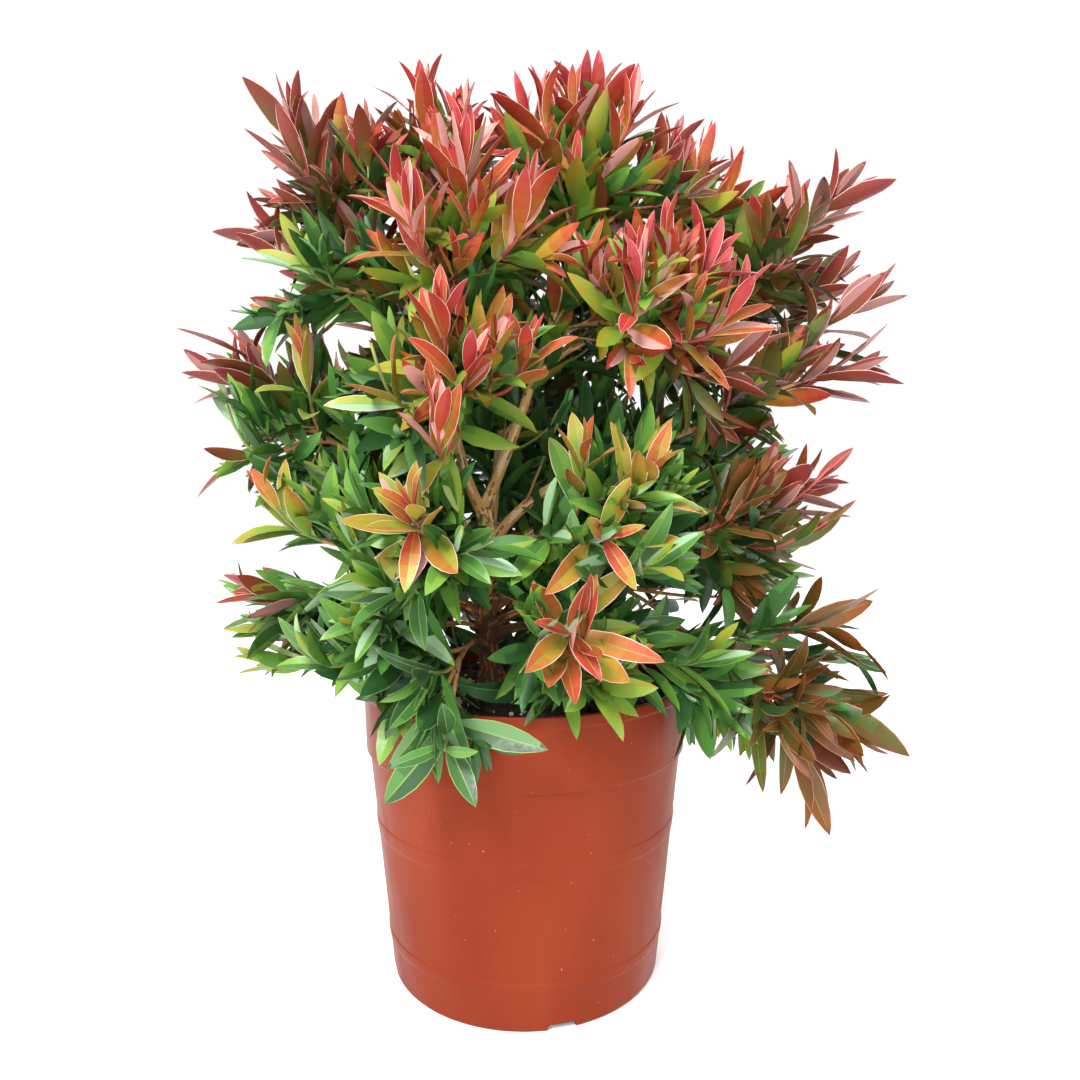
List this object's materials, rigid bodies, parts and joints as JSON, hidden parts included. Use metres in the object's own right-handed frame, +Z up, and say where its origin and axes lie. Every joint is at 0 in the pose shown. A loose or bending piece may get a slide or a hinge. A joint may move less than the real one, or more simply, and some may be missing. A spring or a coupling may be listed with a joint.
{
  "type": "potted flowering shrub",
  "caption": "Bushy evergreen bottlebrush shrub with crimson young leaves in a round terracotta-coloured plastic nursery pot.",
  "frame": {"origin": "centre of the pot's flat underside", "axes": "+Z up along the pot's axis, -Y towards the side that the picture shows, +X to the right of it"},
  "size_m": [0.4027, 0.3726, 0.5366],
  "materials": {
    "pot_plastic": "smooth injection-moulded plastic, terracotta coloured, slightly glossy",
    "compost": "moist dark peat with white perlite",
    "bark": "light brown flaky bark",
    "crimson": "young crimson leaves, satin",
    "bronze": "bronze-red leaves, satin",
    "amber": "orange and yellow-green leaves, satin",
    "olive": "olive-green leaves, satin",
    "green": "dark green leaves, satin"
  },
  "bodies": {
    "root": {"pot": "pot_plastic", "compost": "compost", "trunk": "bark", "bough_top": "bark", "bough_centre_front": "bark", "bough_back_top": "bark", "bough_top_left": "bark", "bough_top_mid_left": "bark", "bough_top_right": "bark", "bough_right_shoulder": "bark", "bough_right_upper": "bark", "bough_front_upper_right": "bark", "bough_front_upper": "bark", "bough_left_upper": "bark", "bough_left_mid": "bark", "bough_left_low": "bark", "bough_front_left": "bark", "bough_low_left": "bark", "bough_front_right": "bark", "bough_right_mid": "bark", "bough_right_low": "bark", "bough_low_right": "bark", "bough_back_left_high": "bark", "bough_back_right_high": "bark", "bough_back_mid": "bark", "bough_back_left": "bark", "bough_back_right": "bark", "foliage_top": "crimson", "foliage_centre_front": "crimson", "foliage_back_top": "crimson", "foliage_top_left": "bronze", "foliage_top_mid_left": "crimson", "foliage_top_right": "crimson", "foliage_right_shoulder": "bronze", "foliage_right_upper": "bronze", "foliage_front_upper_right": "crimson", "foliage_front_upper": "amber", "foliage_left_upper": "bronze", "foliage_left_mid": "bronze", "foliage_left_low": "olive", "foliage_front_left": "amber", "foliage_low_left": "green", "foliage_front_right": "olive", "foliage_right_mid": "bronze", "foliage_right_low": "bronze", "foliage_low_right": "bronze", "foliage_back_left_high": "bronze", "foliage_back_right_high": "bronze", "foliage_back_mid": "olive", "foliage_back_left": "olive", "foliage_back_right": "olive", "foliage_low_front": "amber", "foliage_low_front_left": "green", "foliage_pot_spray": "green", "foliage_low_front_right": "green", "foliage_back_low_left": "green", "foliage_back_low_right": "green", "foliage_heart_left": "green", "foliage_heart_right": "green", "foliage_heart_back": "green"}
  },
  "joints": []
}
